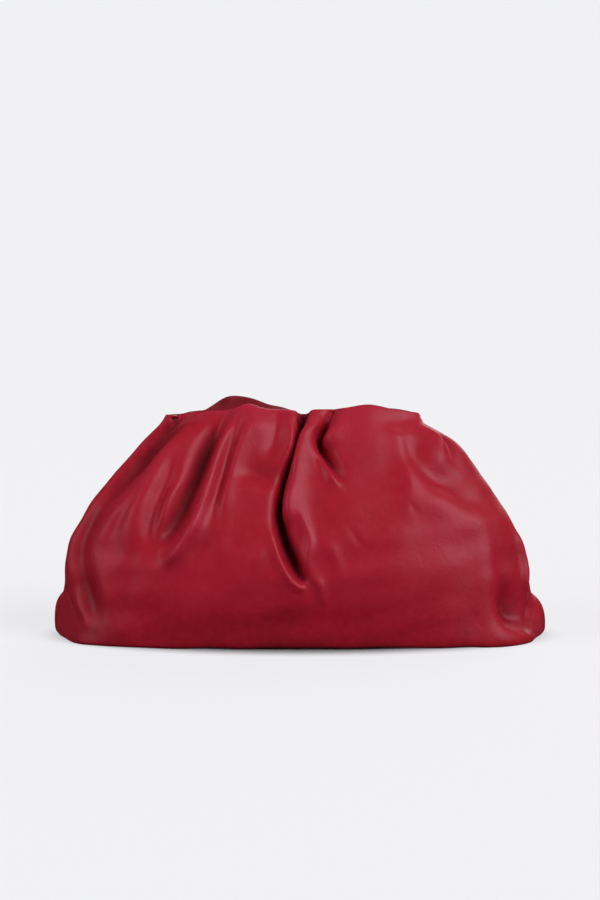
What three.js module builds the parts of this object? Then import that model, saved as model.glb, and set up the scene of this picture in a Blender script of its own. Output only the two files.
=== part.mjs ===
import * as THREE from 'three'

// Gathered leather pouch standing on its base, mouth up, front towards -Y.
// Lengths are in millimetres; the origin is the middle of the base.

// Overall size of the standing pouch
const WIDTH = 390
const DEPTH = 162
const HEIGHT = 190

// Leather, and the gap that seamed pieces keep
const WALL = 2
const SEAM_GAP = 0.3

// Bottom corners pulled out into two flat ears at the side seams
const EAR_THICKNESS = 32

// Mouth: two facings folded over the two bars of a hidden frame
const MOUTH_GAP = 8
const FACING = 1.5
const FACING_DROP = 30
const BAR_THICKNESS = 2.5
const BAR_HEIGHT = 12
const CLEARANCE = 0.3

// Mesh density of each panel
const FRONT_GRID = { columns: 68, rows: 25 }
const BACK_GRID = { columns: 44, rows: 20 }

const HALF_WIDTH = WIDTH / 2
const HALF_DEPTH = DEPTH / 2
const BAR_INSIDE = MOUTH_GAP / 2 + FACING + CLEARANCE
const BAR_OUTSIDE = BAR_INSIDE + BAR_THICKNESS
const RIM_REACH = BAR_OUTSIDE + CLEARANCE + 2 * WALL
const RIM = RIM_REACH / HALF_DEPTH

// Level lines of the unfolded body, from the base seam up to the mouth rim.
// up and seamUp are shares of HEIGHT, depth of HALF_DEPTH, the widths of HALF_WIDTH.
// The side seam is tucked in above the ears, so it has widths of its own.
// full is how square the level line is: 2 is an ellipse, 8 nearly a rectangle.
const LEVEL_COLUMNS = ['up', 'depth', 'left', 'right', 'seamUp', 'seamLeft', 'seamRight', 'full']
const LEVELS = [
  [0.00, 0.00, 0.780, 0.770, 0.00, 0.790, 0.780, 8.0],
  [0.00, 0.35, 0.850, 0.840, 0.00, 0.870, 0.865, 8.0],
  [0.00, 0.69, 0.900, 0.895, 0.00, 0.960, 0.960, 7.0],
  [0.01, 0.88, 0.930, 0.925, 0.00, 0.990, 0.995, 6.0],
  [0.04, 0.95, 0.935, 0.925, 0.02, 1.005, 1.005, 4.5],
  [0.11, 0.99, 0.935, 0.925, 0.08, 1.005, 1.005, 3.4],
  [0.19, 1.00, 0.955, 0.935, 0.15, 1.000, 0.985, 2.7],
  [0.28, 0.99, 0.980, 0.950, 0.20, 0.945, 0.900, 2.5],
  [0.36, 0.96, 0.985, 0.945, 0.27, 0.840, 0.815, 2.4],
  [0.45, 0.91, 0.970, 0.930, 0.36, 0.810, 0.780, 2.4],
  [0.54, 0.84, 0.920, 0.890, 0.46, 0.780, 0.750, 2.4],
  [0.63, 0.75, 0.855, 0.835, 0.57, 0.740, 0.710, 2.4],
  [0.71, 0.65, 0.785, 0.780, 0.67, 0.690, 0.655, 2.4],
  [0.79, 0.54, 0.730, 0.730, 0.77, 0.625, 0.600, 2.4],
  [0.85, 0.43, 0.670, 0.655, 0.84, 0.570, 0.540, 2.6],
  [0.90, 0.33, 0.610, 0.510, 0.89, 0.545, 0.490, 3.0],
  [0.94, RIM + 0.08, 0.560, 0.475, 0.92, 0.535, 0.465, 4.5],
  [0.92, RIM, 0.535, 0.465, 0.92, 0.535, 0.465, 8.0],
].map((row) => Object.fromEntries(row.map((value, k) => [LEVEL_COLUMNS[k], value])))

// Folds, gathers and dents. push goes out along the surface and lift goes up, as shares of
// HALF_DEPTH; left and right are the fold's reach to each side of its line, as shares of
// HALF_WIDTH. The line's points are [across, up, strength]: across is a share of the
// half width at that level, up a share of HEIGHT, and the strength fades the fold at its ends.
const FRONT_FOLDS = [
  { fold: 'left edge ridge', push: 0.06, left: 0.036, right: 0.046,
    line: [[-0.96, 0.84, 0.5], [-0.93, 0.63, 1], [-0.92, 0.44, 1], [-0.94, 0.24, 0.6]] },
  { fold: 'left edge valley', push: -0.17, left: 0.046, right: 0.041,
    line: [[-0.82, 0.91, 0.7], [-0.83, 0.72, 1], [-0.86, 0.46, 0.8], [-0.88, 0.2, 1], [-0.88, 0.05, 0.2]] },
  { fold: 'left soft ridge', push: 0.05, left: 0.046, right: 0.046,
    line: [[-0.73, 0.70, 0.3], [-0.78, 0.55, 1], [-0.82, 0.40, 0.3]] },
  { fold: 'left broad ridge', push: 0.09, left: 0.051, right: 0.041,
    line: [[-0.80, 0.90, 0.5], [-0.72, 0.75, 1], [-0.66, 0.60, 1], [-0.65, 0.38, 0.3]] },
  { fold: 'left double valley', push: -0.05, left: 0.030, right: 0.030,
    line: [[-0.71, 0.85, 0.5], [-0.62, 0.64, 1], [-0.58, 0.40, 0.7]] },
  { fold: 'second valley', push: -0.19, left: 0.051, right: 0.036,
    line: [[-0.48, 0.91, 0.8], [-0.52, 0.74, 1], [-0.51, 0.58, 0.9], [-0.53, 0.39, 0.2]] },
  { fold: 'hooked ridge', push: 0.10, left: 0.032, right: 0.046, lean: -0.02,
    line: [[-0.47, 0.93, 0.7], [-0.46, 0.72, 1], [-0.43, 0.52, 1], [-0.49, 0.40, 0.8], [-0.57, 0.33, 0.2]] },
  { fold: 'band ridge', push: 0.05, left: 0.026, right: 0.041,
    line: [[-0.37, 0.89, 0.4], [-0.41, 0.74, 1], [-0.39, 0.54, 0.4]] },
  { fold: 'left puff', push: 0.09, lift: 0.06, left: 0.130, right: 0.110,
    line: [[-0.30, 0.93, 1], [-0.24, 0.86, 1], [-0.24, 0.76, 0.4]] },
  { fold: 'left puff edge', push: 0.05, left: 0.041, right: 0.030,
    line: [[-0.08, 0.93, 0.6], [-0.03, 0.86, 1], [-0.04, 0.79, 0.5]] },
  { fold: 'cross dent', push: -0.06, left: 0.041, right: 0.041,
    line: [[-0.36, 0.72, 0.3], [-0.22, 0.73, 1], [-0.10, 0.71, 1]] },
  { fold: 'deep middle crease', push: -0.30, lift: -0.05, left: 0.045, right: 0.040,
    line: [[-0.01, 0.93, 0.8], [-0.04, 0.78, 0.9], [-0.08, 0.60, 1], [-0.06, 0.42, 0.9], [0.03, 0.27, 0.2]] },
  { fold: 'middle crease lip', push: 0.05, left: 0.036, right: 0.030,
    line: [[-0.12, 0.45, 0.2], [-0.06, 0.35, 1], [0.03, 0.25, 0.3]] },
  { fold: 'middle pleat edge', push: 0.08, left: 0.030, right: 0.051, lean: -0.03,
    line: [[0.09, 0.93, 0.7], [-0.01, 0.80, 1], [-0.04, 0.63, 1], [-0.05, 0.46, 0.5]] },
  { fold: 'pocket', push: -0.20, left: 0.036, right: 0.040,
    line: [[0.22, 0.93, 0.8], [0.12, 0.83, 1], [0.17, 0.74, 0.5], [0.22, 0.68, 0.1]] },
  { fold: 'pocket lip', push: 0.04, left: 0.030, right: 0.028,
    line: [[0.15, 0.91, 0.3], [0.12, 0.82, 1], [0.20, 0.66, 0.3]] },
  { fold: 'right puff edge', push: 0.05, left: 0.030, right: 0.062, lean: -0.02,
    line: [[0.28, 0.93, 0.7], [0.20, 0.87, 1], [0.14, 0.82, 0.6]] },
  { fold: 'right puff', push: 0.10, lift: 0.05, left: 0.170, right: 0.150,
    line: [[0.58, 0.93, 1], [0.47, 0.87, 1], [0.36, 0.78, 0.5]] },
  { fold: 'right ridge', push: 0.075, left: 0.031, right: 0.072,
    line: [[0.69, 0.91, 0.3], [0.57, 0.77, 0.9], [0.55, 0.64, 1], [0.58, 0.57, 0.5]] },
  { fold: 'right valley', push: -0.10, left: 0.031, right: 0.046,
    line: [[0.71, 0.90, 0.3], [0.63, 0.75, 1], [0.68, 0.64, 1], [0.78, 0.58, 0.4]] },
  { fold: 'right broad ridge', push: 0.06, left: 0.062, right: 0.062,
    line: [[0.57, 0.59, 0.6], [0.68, 0.56, 0.8], [0.80, 0.54, 0.6]] },
  { fold: 'shoulder puff', push: 0.075, left: 0.082, right: 0.082,
    line: [[0.83, 0.86, 0.6], [0.75, 0.79, 1], [0.73, 0.72, 0.8]] },
  { fold: 'shoulder edge', push: 0.05, left: 0.041, right: 0.030,
    line: [[0.93, 0.88, 0.4], [0.84, 0.82, 1], [0.79, 0.74, 0.2]] },
  { fold: 'right edge ridge', push: 0.05, left: 0.026, right: 0.026,
    line: [[0.89, 0.46, 0.3], [0.93, 0.34, 1], [0.96, 0.18, 0.5]] },
  { fold: 'right edge valley', push: -0.12, left: 0.046, right: 0.036,
    line: [[0.90, 0.40, 0.3], [0.86, 0.24, 1], [0.88, 0.14, 1], [0.96, 0.11, 0.6]] },
  { fold: 'right foot ridge', push: 0.05, left: 0.062, right: 0.036,
    line: [[0.82, 0.53, 0.4], [0.77, 0.30, 1], [0.81, 0.13, 1], [0.95, 0.04, 0.6]] },
  { fold: 'left ear crease', push: -0.06, left: 0.025, right: 0.025,
    line: [[-0.97, 0.22, 1], [-0.95, 0.14, 0.9], [-0.92, 0.05, 0.2]] },
]

const BACK_FOLDS = [
  { fold: 'left edge valley', push: -0.14, left: 0.050, right: 0.050,
    line: [[-0.84, 0.91, 0.6], [-0.84, 0.64, 1], [-0.88, 0.34, 0.8], [-0.90, 0.06, 0.2]] },
  { fold: 'left gather ridge', push: 0.08, left: 0.050, right: 0.050,
    line: [[-0.74, 0.92, 0.8], [-0.68, 0.74, 1], [-0.64, 0.48, 0.3]] },
  { fold: 'left gather valley', push: -0.18, left: 0.045, right: 0.045,
    line: [[-0.60, 0.92, 0.8], [-0.55, 0.72, 1], [-0.50, 0.44, 0.3]] },
  { fold: 'tall puff', push: 0.10, lift: 0.11, left: 0.110, right: 0.130,
    line: [[-0.52, 0.93, 1], [-0.40, 0.88, 0.9], [-0.36, 0.74, 0.4]] },
  { fold: 'tall puff shoulder', push: 0.04, lift: 0.07, left: 0.070, right: 0.050,
    line: [[-0.24, 0.93, 1], [-0.22, 0.84, 0.5]] },
  { fold: 'middle crease', push: -0.26, left: 0.040, right: 0.050,
    line: [[-0.05, 0.92, 0.9], [0.02, 0.70, 1], [0.04, 0.50, 0.8], [0.10, 0.30, 0.2]] },
  { fold: 'middle pleat edge', push: 0.08, left: 0.050, right: 0.030,
    line: [[-0.14, 0.91, 0.6], [-0.08, 0.68, 1], [-0.04, 0.44, 0.4]] },
  { fold: 'right puff', push: 0.08, lift: 0.04, left: 0.130, right: 0.130,
    line: [[0.28, 0.93, 1], [0.26, 0.78, 0.7]] },
  { fold: 'right gather valley', push: -0.16, left: 0.040, right: 0.050,
    line: [[0.52, 0.92, 0.8], [0.50, 0.70, 1], [0.44, 0.48, 0.3]] },
  { fold: 'right gather ridge', push: 0.08, lift: 0.02, left: 0.050, right: 0.060,
    line: [[0.68, 0.91, 0.6], [0.64, 0.70, 1], [0.60, 0.46, 0.4]] },
  { fold: 'right edge valley', push: -0.13, left: 0.050, right: 0.050,
    line: [[0.86, 0.90, 0.6], [0.82, 0.62, 1], [0.86, 0.36, 0.9], [0.92, 0.10, 0.4]] },
]

// Where folds die out: at the side seam, and from the crest of the gathers to the rim
const SEAM_CALM = 0.07 * HALF_WIDTH
const CREST_START = 0.86
const RIM_CALM = 0.985

// Share of a rim half length that each facing hangs down over, and where it ends
const DROP_SHARE = 0.86
const FACING_END = 0.97

const LEATHER = { color: 0xa01c2b, roughness: 0.5, metalness: 0 }
const STEEL = { color: 0x8d9094, roughness: 0.35, metalness: 1 }

const clamp = (x, low, high) => Math.min(Math.max(x, low), high)

function smoothstep(x, from, to) {
  const t = clamp((x - from) / (to - from), 0, 1)
  return t * t * (3 - 2 * t)
}

// Uniform cubic B-spline through the rows of LEVELS, v from 0 at the base seam to 1 at the rim
function levelAt(v) {
  const spans = LEVELS.length - 1
  const place = clamp(v, 0, 1) * spans
  const first = Math.min(Math.floor(place), spans - 1)
  const t = place - first
  const weights = [
    (1 - t) ** 3,
    3 * t ** 3 - 6 * t ** 2 + 4,
    -3 * t ** 3 + 3 * t ** 2 + 3 * t + 1,
    t ** 3,
  ]
  const level = {}
  for (const name of LEVEL_COLUMNS) {
    const value = (row) => {
      if (row < 0) return 2 * LEVELS[0][name] - LEVELS[1][name]
      if (row > spans) return 2 * LEVELS[spans][name] - LEVELS[spans - 1][name]
      return LEVELS[row][name]
    }
    level[name] = weights.reduce((sum, w, k) => sum + w * value(first - 1 + k), 0) / 6
  }
  return level
}

// Point of the unfolded body: across is -1 at the left side seam and 1 at the right one,
// side is -1 for the front panel and 1 for the back panel
function bodyPoint(across, level, side) {
  const sign = across < 0 ? -1 : 1
  const share = Math.min(Math.abs(across), 1)
  const halfWidth = (across < 0 ? level.left : level.right) * HALF_WIDTH
  const seam = (across < 0 ? level.seamLeft : level.seamRight) * HALF_WIDTH
  const y = level.depth * HALF_DEPTH * (1 - share ** level.full) ** (1 / level.full)
  const nearSeam = Math.exp(-((y / (EAR_THICKNESS / 2)) ** 2)) * share ** 6
  const seamLift = Math.exp(-((y / EAR_THICKNESS) ** 2)) * share ** 8
  return new THREE.Vector3(
    sign * (halfWidth * share + (seam - halfWidth) * nearSeam),
    side * Math.max(y, SEAM_GAP / 2),
    Math.max(0, HEIGHT * (level.up + (level.seamUp - level.up) * seamLift)),
  )
}

// Points along one level line, spaced evenly by their distance along it
function levelLine(v, columns, side) {
  const level = levelAt(v)
  const samples = 240
  const fine = []
  for (let i = -samples; i <= samples; i++) {
    const t = Math.abs(i) / samples
    fine.push(bodyPoint(Math.sign(i) * (1 - (1 - t) ** 5), level, side))
  }
  const along = [0]
  for (let i = 1; i < fine.length; i++) along.push(along[i - 1] + fine[i].distanceTo(fine[i - 1]))
  const line = []
  let i = 0
  for (let c = 0; c <= columns; c++) {
    const target = (along[along.length - 1] * c) / columns
    while (i < fine.length - 2 && along[i + 1] < target) i++
    const t = clamp((target - along[i]) / (along[i + 1] - along[i]), 0, 1)
    line.push(fine[i].clone().lerp(fine[i + 1], t))
  }
  return line
}

// Outward normals of a grid of points; at a side seam they stay in the seam's plane
function gridNormals(grid, side) {
  const last = grid.length - 1
  return grid.map((line, r) => line.map((_, c) => {
    const across = line[Math.min(c + 1, line.length - 1)].clone().sub(line[Math.max(c - 1, 0)])
    const up = grid[Math.min(r + 1, last)][c].clone().sub(grid[Math.max(r - 1, 0)][c])
    const normal = across.cross(up).multiplyScalar(-side)
    if (c === 0 || c === line.length - 1) normal.y = 0
    return normal.normalize()
  }))
}

// The v of the level whose height is up, on the stretch above the base and below the crest
function levelOfHeight(up) {
  let low = 0.12
  let high = 0.93
  for (let step = 0; step < 24; step++) {
    const middle = (low + high) / 2
    if (levelAt(middle).up < up) low = middle
    else high = middle
  }
  return low
}

// A fold's line laid on the unfolded body, with its strength at each point
function foldLine(fold, side) {
  const points = fold.line.map(([across, up, strength]) => new THREE.Vector3(across, up, strength))
  const curve = new THREE.CatmullRomCurve3(points, false, 'catmullrom', 0.5)
  return curve.getPoints(16).map((p) => ({
    at: bodyPoint(p.x, levelAt(levelOfHeight(p.y)), side),
    strength: Math.max(p.z, 0),
  }))
}

// How one fold moves a point of the body: a push along the normal, a lift, and a lean sideways
function foldOffset(point, normal, fold, line, side) {
  let nearest = { distance: Infinity }
  for (let i = 0; i < line.length - 1; i++) {
    const along = line[i + 1].at.clone().sub(line[i].at)
    const t = clamp(point.clone().sub(line[i].at).dot(along) / along.lengthSq(), 0, 1)
    const foot = line[i].at.clone().addScaledVector(along, t)
    const distance = foot.distanceTo(point)
    const strength = line[i].strength * (1 - t) + line[i + 1].strength * t
    if (distance < nearest.distance) nearest = { distance, foot, along, strength }
  }
  const sideways = normal.clone().cross(nearest.along).normalize()
  const offset = point.clone().sub(nearest.foot).dot(sideways)
  const blend = 0.5 + 0.5 * Math.tanh(offset / (0.35 * Math.min(fold.left, fold.right) * HALF_WIDTH))
  const reach = (fold.left * (1 - blend) + fold.right * blend) * HALF_WIDTH
  const weight = nearest.strength * Math.exp(-((nearest.distance / reach) ** 2)) * HALF_DEPTH
  return {
    push: fold.push * weight,
    lift: (fold.lift ?? 0) * weight,
    slide: sideways.multiplyScalar((fold.lean ?? 0) * weight),
  }
}

// One folded panel as a grid of outer points
function foldedPanel(folds, grid, side) {
  const body = []
  for (let r = 0; r <= grid.rows; r++) body.push(levelLine(r / grid.rows, grid.columns, side))
  const normals = gridNormals(body, side)
  const lines = folds.map((fold) => foldLine(fold, side))
  const nearestToMouth = RIM_REACH - WALL
  return body.map((line, r) => line.map((point, c) => {
    const v = r / grid.rows
    const normal = normals[r][c].clone()
    const calm = smoothstep(Math.abs(point.y), 0, SEAM_CALM) * (1 - smoothstep(v, RIM_CALM, 1))
    const upright = 1 - 0.6 * smoothstep(v, CREST_START, 1)
    const moved = point.clone()
    folds.forEach((fold, k) => {
      const offset = foldOffset(point, normal, fold, lines[k], side)
      moved.x += calm * (offset.push * normal.x + offset.slide.x)
      moved.y += calm * (offset.push * normal.y + offset.slide.y)
      moved.z += calm * (offset.push * normal.z * upright + offset.slide.z + offset.lift)
    })
    moved.z = r === 0 || point.z === 0 ? point.z : Math.max(moved.z, 0)
    const floor = Math.min(Math.abs(point.y), v > CREST_START ? nearestToMouth : SEAM_GAP / 2)
    moved.y = side * Math.max(side * moved.y, floor)
    return moved
  }))
}

// Inner face of the leather: one wall in from the outer grid, level with it at the seams
function innerGrid(outer, side) {
  const normals = gridNormals(outer, side)
  const last = outer.length - 1
  return outer.map((line, r) => line.map((point, c) => {
    const atSeam = r === 0 || r === last || c === 0 || c === line.length - 1
    const normal = normals[r][c].clone()
    if (r === 0) normal.set(0, 0, -1)
    if (r === last) normal.set(0, 0, 1)
    const inner = point.clone().addScaledVector(normal, -WALL)
    if (atSeam) inner.y = point.y
    else inner.y = side * Math.max(side * inner.y, SEAM_GAP / 2)
    return inner
  }))
}

// Closed geometry between an outer and an inner grid of the same size,
// each quad split along its shorter diagonal.
// flip turns the faces over, for a grid that runs the other way round.
function shellGeometry(outer, inner, flip) {
  const rows = outer.length
  const columns = outer[0].length
  const points = [...outer.flat(), ...inner.flat()]
  const index = []
  const out = (r, c) => r * columns + c
  const into = (r, c) => rows * columns + out(r, c)
  const face = (a, b, c) => index.push(...(flip ? [a, c, b] : [a, b, c]))
  const quad = (a, b, c, d) => {
    if (points[a].distanceTo(points[c]) < points[b].distanceTo(points[d])) {
      face(a, b, c)
      face(a, c, d)
    } else {
      face(a, b, d)
      face(b, c, d)
    }
  }
  for (let r = 0; r < rows - 1; r++) {
    for (let c = 0; c < columns - 1; c++) {
      quad(out(r, c), out(r, c + 1), out(r + 1, c + 1), out(r + 1, c))
      quad(into(r, c), into(r + 1, c), into(r + 1, c + 1), into(r, c + 1))
    }
  }
  for (let c = 0; c < columns - 1; c++) {
    quad(out(0, c), into(0, c), into(0, c + 1), out(0, c + 1))
    quad(out(rows - 1, c), out(rows - 1, c + 1), into(rows - 1, c + 1), into(rows - 1, c))
  }
  for (let r = 0; r < rows - 1; r++) {
    quad(out(r, 0), out(r + 1, 0), into(r + 1, 0), into(r, 0))
    quad(out(r, columns - 1), into(r, columns - 1), into(r + 1, columns - 1), out(r + 1, columns - 1))
  }
  const geometry = new THREE.BufferGeometry()
  geometry.setFromPoints(points)
  geometry.setIndex(index)
  geometry.computeVertexNormals()
  return geometry
}

function panel(name, folds, grid, side) {
  const outer = foldedPanel(folds, grid, side)
  return namedMesh(name, shellGeometry(outer, innerGrid(outer, side), side > 0), LEATHER)
}

function namedMesh(name, geometry, look) {
  const mesh = new THREE.Mesh(geometry, new THREE.MeshStandardMaterial(look))
  mesh.name = name
  return mesh
}

const RIM_LEVEL = LEVELS[LEVELS.length - 1]
const RIM_TOP = RIM_LEVEL.up * HEIGHT

// Leather turned in over one bar: a ledge from the panel's rim to the mouth, and a drop
// down inside. Past the bars' ends the drop stops and the two ledges close over the frame.
function facing(name, side) {
  const spans = 20
  const stations = [-FACING_END, -0.95, -0.90, -0.875]
  for (let i = 0; i <= spans; i++) stations.push(DROP_SHARE * ((2 * i) / spans - 1))
  stations.push(0.875, 0.90, 0.95, FACING_END)
  const sections = stations.map((across) => {
    const rim = bodyPoint(across, RIM_LEVEL, side)
    const closed = smoothstep(Math.abs(across), DROP_SHARE, 0.90)
    const dropped = Math.abs(across) <= DROP_SHARE
    const mouth = (MOUTH_GAP / 2) * (1 - closed) + (SEAM_GAP / 2) * closed
    const edge = Math.abs(rim.y) - 2 * CLEARANCE
    const foot = RIM_TOP - FACING - (dropped ? FACING_DROP : CLEARANCE / 2)
    const at = (y, z) => new THREE.Vector3(rim.x, side * y, z)
    return {
      outer: [at(edge, RIM_TOP), at(mouth, RIM_TOP), at(mouth, foot)],
      inner: [at(edge, RIM_TOP - FACING), at(mouth + FACING, RIM_TOP - FACING), at(mouth + FACING, foot)],
    }
  })
  const outer = [0, 1, 2].map((row) => sections.map((s) => s.outer[row]))
  const inner = [0, 1, 2].map((row) => sections.map((s) => s.inner[row]))
  return namedMesh(name, shellGeometry(outer, inner, side > 0), LEATHER)
}

// Hidden frame: two bars joined by round ends, as one plain ring
function closureFrame() {
  const leftEnd = -DROP_SHARE * RIM_LEVEL.left * HALF_WIDTH
  const rightEnd = DROP_SHARE * RIM_LEVEL.right * HALF_WIDTH
  const outline = (path, radius) => {
    path.absarc(rightEnd, 0, radius, -Math.PI / 2, Math.PI / 2, false)
    path.absarc(leftEnd, 0, radius, Math.PI / 2, (3 * Math.PI) / 2, false)
    path.closePath()
    return path
  }
  const shape = outline(new THREE.Shape(), BAR_OUTSIDE)
  shape.holes.push(outline(new THREE.Path(), BAR_INSIDE))
  const geometry = new THREE.ExtrudeGeometry(shape, {
    depth: BAR_HEIGHT,
    bevelEnabled: false,
    curveSegments: 8,
  })
  geometry.translate(0, 0, RIM_TOP - FACING - 2 * CLEARANCE - BAR_HEIGHT)
  return namedMesh('closure_frame', geometry, STEEL)
}

const pouch = new THREE.Group()
pouch.add(panel('front_panel', FRONT_FOLDS, FRONT_GRID, -1))
pouch.add(panel('back_panel', BACK_FOLDS, BACK_GRID, 1))
pouch.add(facing('front_facing', -1))
pouch.add(facing('back_facing', 1))
pouch.add(closureFrame())

export default pouch
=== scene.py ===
import math

import bpy
import numpy as np
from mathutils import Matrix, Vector


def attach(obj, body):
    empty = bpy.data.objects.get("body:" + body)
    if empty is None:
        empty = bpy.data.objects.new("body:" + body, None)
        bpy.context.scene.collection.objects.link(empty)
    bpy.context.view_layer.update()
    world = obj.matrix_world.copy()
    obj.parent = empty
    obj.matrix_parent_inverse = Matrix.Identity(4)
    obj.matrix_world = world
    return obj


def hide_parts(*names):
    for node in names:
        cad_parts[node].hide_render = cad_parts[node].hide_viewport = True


bl_info = {
    "name": "Gathered leather pouch",
    "version": (1, 0, 0),
    "blender": (4, 5, 0),
    "location": "3D View > Sidebar > Pouch",
    "description": "Soft nappa pouch gathered into a hidden frame mouth",
    "category": "Object",
}

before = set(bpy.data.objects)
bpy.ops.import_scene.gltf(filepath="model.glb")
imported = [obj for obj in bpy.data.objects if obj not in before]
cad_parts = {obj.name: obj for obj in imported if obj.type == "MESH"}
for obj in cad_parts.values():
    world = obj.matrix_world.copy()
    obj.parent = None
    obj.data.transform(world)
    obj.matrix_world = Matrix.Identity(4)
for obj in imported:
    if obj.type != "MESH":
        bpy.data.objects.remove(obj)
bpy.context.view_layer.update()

MM = 0.001
FRONT, BACK = -1, 1
SIDES = ((FRONT, "front"), (BACK, "back"))

# Level lines of the unfolded body, from the base seam up to the mouth rim: height, depth, reach
# to the left and right, then the side seam's height and its reach to the left and right, as
# shares of the height, the half depth and the half width. The last value says how full the
# section is. The seam is tucked in above the ears. RIM marks a depth counted from the rim.
RIM = 1000.0
LEVELS = (
    (0, 0, 0.8, 0.76, 0, 0.8, 0.78, 5),
    (0, 0.45, 0.87, 0.84, 0, 0.88, 0.87, 5),
    (0, 0.84, 0.925, 0.905, 0, 0.97, 0.97, 4.4),
    (0.003, 0.93, 0.945, 0.945, 0, 0.992, 0.997, 4),
    (0.025, 0.95, 0.945, 0.952, 0.02, 1.005, 1.005, 3.7),
    (0.1, 0.965, 0.935, 0.935, 0.08, 1.005, 1.005, 3.2),
    (0.19, 0.995, 0.955, 0.935, 0.15, 1, 0.985, 2.7),
    (0.28, 1, 0.98, 0.95, 0.2, 0.945, 0.9, 2.5),
    (0.36, 0.96, 0.985, 0.945, 0.27, 0.84, 0.815, 2.4),
    (0.45, 0.91, 0.97, 0.93, 0.36, 0.81, 0.78, 2.4),
    (0.54, 0.84, 0.92, 0.89, 0.46, 0.78, 0.75, 2.4),
    (0.63, 0.75, 0.855, 0.835, 0.57, 0.74, 0.71, 2.4),
    (0.71, 0.65, 0.785, 0.78, 0.67, 0.69, 0.655, 2.4),
    (0.79, 0.54, 0.73, 0.73, 0.77, 0.625, 0.6, 2.4),
    (0.85, 0.44, 0.67, 0.655, 0.84, 0.57, 0.54, 2.6),
    (0.9, 0.345, 0.612, 0.512, 0.89, 0.545, 0.49, 3),
    (0.932, RIM + 0.134, 0.575, 0.493, 0.92, 0.54, 0.475, 3.8),
    (0.948, RIM + 0.107, 0.562, 0.485, 0.925, 0.539, 0.472, 4.6),
    (0.947, RIM + 0.09, 0.555, 0.48, 0.925, 0.538, 0.47, 5.4),
    (0.938, RIM + 0.055, 0.547, 0.474, 0.923, 0.537, 0.468, 6.4),
    (0.929, RIM + 0.022, 0.54, 0.469, 0.921, 0.536, 0.466, 7.4),
    (0.92, RIM, 0.535, 0.465, 0.92, 0.535, 0.465, 8),
)
# Row of the table where the hide turns in over the crest, and row from which folds fade out
CREST_ROW, RIM_CALM_ROW = 15.0, 18.0
# A valley lowers the crest by this share of its depth
VALLEY_DROP = 0.45
# Folds fade out this close to the side seam, as a share of the width, and more at the crest
SEAM_CALM, CREST_CALM = 0.018, 0.9
# At the crest a fold goes level, with this share of the normal's climb
CREST_CLIMB = 0.15
# Mesh rows to a span of the table, relative to each other: at the base, the body, the crest
BASE_ROWS, BODY_ROWS, CREST_ROWS = 5, 10, 4
# Roll beside the side seam: height of each swell or dip, distance from the seam, and reach
SEAM_WAVES = ((0.7 * MM, 3.5 * MM, 2.0 * MM), (-0.9 * MM, 8.0 * MM, 1.8 * MM))
# Unevenness of the hide: number of waves, their least and most length, and height in mm
WAVES, WAVE_LENGTH, WAVE_HEIGHT = 14, (0.020, 0.070), (0.06, 0.16)
# Painted shade depth of the turned-in side, its growth behind a bulge, and the painted highlight
# along the crest's edge
INSIDE_SHADE, BULGE_SHADE, CREST_HIGHLIGHT = 8 * MM, 0.6, 7 * MM
# Shares of the mouth's half length: the facings hang down to the first, the slot is shut from
# the second, and the facings and the stitches end at the others
DROP_SHARE, SHUT_SHARE, FACING_END, STITCH_END = 0.86, 0.90, 0.99, 0.92

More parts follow.
